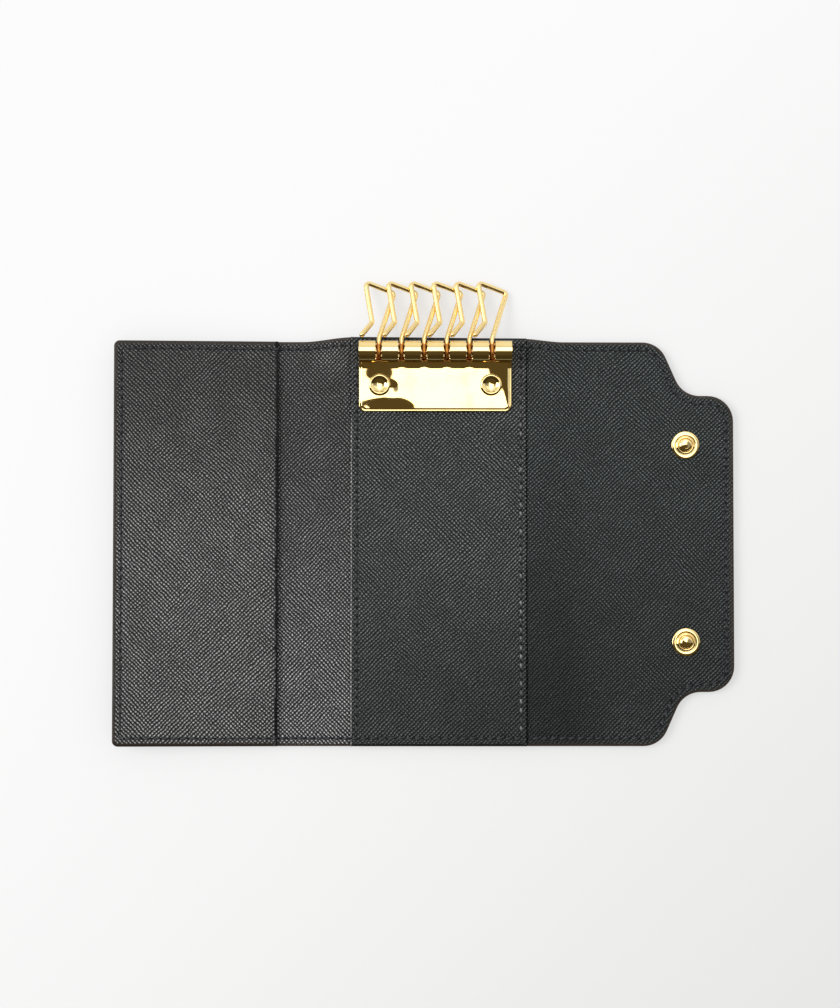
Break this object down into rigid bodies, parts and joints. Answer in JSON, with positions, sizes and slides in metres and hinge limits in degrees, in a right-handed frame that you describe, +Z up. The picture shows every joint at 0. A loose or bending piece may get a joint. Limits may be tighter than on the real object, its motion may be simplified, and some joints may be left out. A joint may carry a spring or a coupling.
{
  "type": "key case",
  "caption": "Trifold leather key case, open: pocket wing, back with a hinged-hook key plate, and a snap-closing flap with a narrowed tongue.",
  "frame": {"origin": "middle of the back panel's outer face, which lies on the table", "axes": "+X across the open case towards the flap, +Y along the folds towards the key hooks, +Z up, out of the inside of the case"},
  "size_m": [0.1687, 0.1265, 0.0093],
  "materials": {
    "shell_leather": "black crosshatch-embossed calf leather, semi-matt, with painted edges",
    "lining_leather": "black crosshatch-embossed calf leather, semi-matt",
    "pocket_leather": "black crosshatch-embossed calf leather, semi-matt",
    "panel_leather": "black crosshatch-embossed calf leather, semi-matt",
    "board": "grey-brown bonded leather board",
    "polished_gold": "gold-plated brass, mirror polished",
    "gold_wire": "gold-plated spring wire, polished",
    "plain_brass": "plain brass"
  },
  "bodies": {
    "back": {"back_shell": "shell_leather", "back_board": "board", "back_lining": "lining_leather", "key_panel": "panel_leather", "key_plate": "polished_gold", "hook_pin": "plain_brass", "plate_rivets": "polished_gold", "rivet_caps": "plain_brass"},
    "left_spine_1": {"left_spine_shell_1": "shell_leather", "left_spine_lining_1": "lining_leather"},
    "left_spine_2": {"left_spine_shell_2": "shell_leather", "left_spine_lining_2": "lining_leather"},
    "left_spine_3": {"left_spine_shell_3": "shell_leather", "left_spine_lining_3": "lining_leather"},
    "wing": {"wing_shell": "shell_leather", "wing_board": "board", "wing_lining": "lining_leather", "pocket_front": "pocket_leather", "snap_sockets": "polished_gold", "socket_springs": "plain_brass", "socket_rivets": "plain_brass"},
    "right_spine_1": {"right_spine_shell_1": "shell_leather", "right_spine_lining_1": "lining_leather"},
    "right_spine_2": {"right_spine_shell_2": "shell_leather", "right_spine_lining_2": "lining_leather"},
    "right_spine_3": {"right_spine_shell_3": "shell_leather", "right_spine_lining_3": "lining_leather"},
    "flap": {"flap_shell": "shell_leather", "flap_board": "board", "flap_lining": "lining_leather", "snap_studs": "polished_gold", "stud_rivets": "plain_brass"},
    "hook_1": {"key_hook_1": "gold_wire"},
    "hook_2": {"key_hook_2": "gold_wire"},
    "hook_3": {"key_hook_3": "gold_wire"},
    "hook_4": {"key_hook_4": "gold_wire"},
    "hook_5": {"key_hook_5": "gold_wire"},
    "hook_6": {"key_hook_6": "gold_wire"}
  },
  "joints": [
    {"name": "left_fold_1", "type": "hinge", "parent": "back", "child": "left_spine_1", "pos_m": [-0.026, 0, 0.001], "axis": [0, 1, 0], "range_deg": [0, 45]},
    {"name": "left_fold_2", "type": "hinge", "parent": "left_spine_1", "child": "left_spine_2", "pos_m": [-0.03122, 0, 0.001], "axis": [0, 1, 0], "range_deg": [0, 45]},
    {"name": "left_fold_3", "type": "hinge", "parent": "left_spine_2", "child": "left_spine_3", "pos_m": [-0.03644, 0, 0.001], "axis": [0, 1, 0], "range_deg": [0, 45]},
    {"name": "left_fold_4", "type": "hinge", "parent": "left_spine_3", "child": "wing", "pos_m": [-0.04166, 0, 0.001], "axis": [0, 1, 0], "range_deg": [0, 40.82]},
    {"name": "right_fold_1", "type": "hinge", "parent": "back", "child": "right_spine_1", "pos_m": [0.026, 0, 0.001], "axis": [0, -1, 0], "range_deg": [0, 45]},
    {"name": "right_fold_2", "type": "hinge", "parent": "right_spine_1", "child": "right_spine_2", "pos_m": [0.03329, 0, 0.001], "axis": [0, -1, 0], "range_deg": [0, 45]},
    {"name": "right_fold_3", "type": "hinge", "parent": "right_spine_2", "child": "right_spine_3", "pos_m": [0.04058, 0, 0.001], "axis": [0, -1, 0], "range_deg": [0, 45]},
    {"name": "right_fold_4", "type": "hinge", "parent": "right_spine_3", "child": "flap", "pos_m": [0.04787, 0, 0.001], "axis": [0, -1, 0], "range_deg": [0, 45]},
    {"name": "hook_swing_1", "type": "hinge", "parent": "back", "child": "hook_1", "pos_m": [-0.01638, 0.0519, 0.0063], "axis": [1, 0, 0], "range_deg": [0, 190]},
    {"name": "hook_swing_2", "type": "hinge", "parent": "back", "child": "hook_2", "pos_m": [-0.01022, 0.0519, 0.0063], "axis": [1, 0, 0], "range_deg": [0, 190]},
    {"name": "hook_swing_3", "type": "hinge", "parent": "back", "child": "hook_3", "pos_m": [-0.00407, 0.0519, 0.0063], "axis": [1, 0, 0], "range_deg": [0, 190]},
    {"name": "hook_swing_4", "type": "hinge", "parent": "back", "child": "hook_4", "pos_m": [0.00208, 0.0519, 0.0063], "axis": [1, 0, 0], "range_deg": [0, 190]},
    {"name": "hook_swing_5", "type": "hinge", "parent": "back", "child": "hook_5", "pos_m": [0.00822, 0.0519, 0.0063], "axis": [1, 0, 0], "range_deg": [0, 190]},
    {"name": "hook_swing_6", "type": "hinge", "parent": "back", "child": "hook_6", "pos_m": [0.01438, 0.0519, 0.0063], "axis": [1, 0, 0], "range_deg": [0, 190]}
  ],
  "couplings": [
    {"joint": "left_fold_2", "follows": "left_fold_1", "ratio": 1},
    {"joint": "left_fold_3", "follows": "left_fold_1", "ratio": 1},
    {"joint": "left_fold_4", "follows": "left_fold_1", "ratio": 0.90712},
    {"joint": "right_fold_2", "follows": "right_fold_1", "ratio": 1},
    {"joint": "right_fold_3", "follows": "right_fold_1", "ratio": 1},
    {"joint": "right_fold_4", "follows": "right_fold_1", "ratio": 1},
    {"joint": "hook_swing_2", "follows": "hook_swing_1", "ratio": 1},
    {"joint": "hook_swing_3", "follows": "hook_swing_1", "ratio": 1},
    {"joint": "hook_swing_4", "follows": "hook_swing_1", "ratio": 1},
    {"joint": "hook_swing_5", "follows": "hook_swing_1", "ratio": 1},
    {"joint": "hook_swing_6", "follows": "hook_swing_1", "ratio": 1}
  ]
}
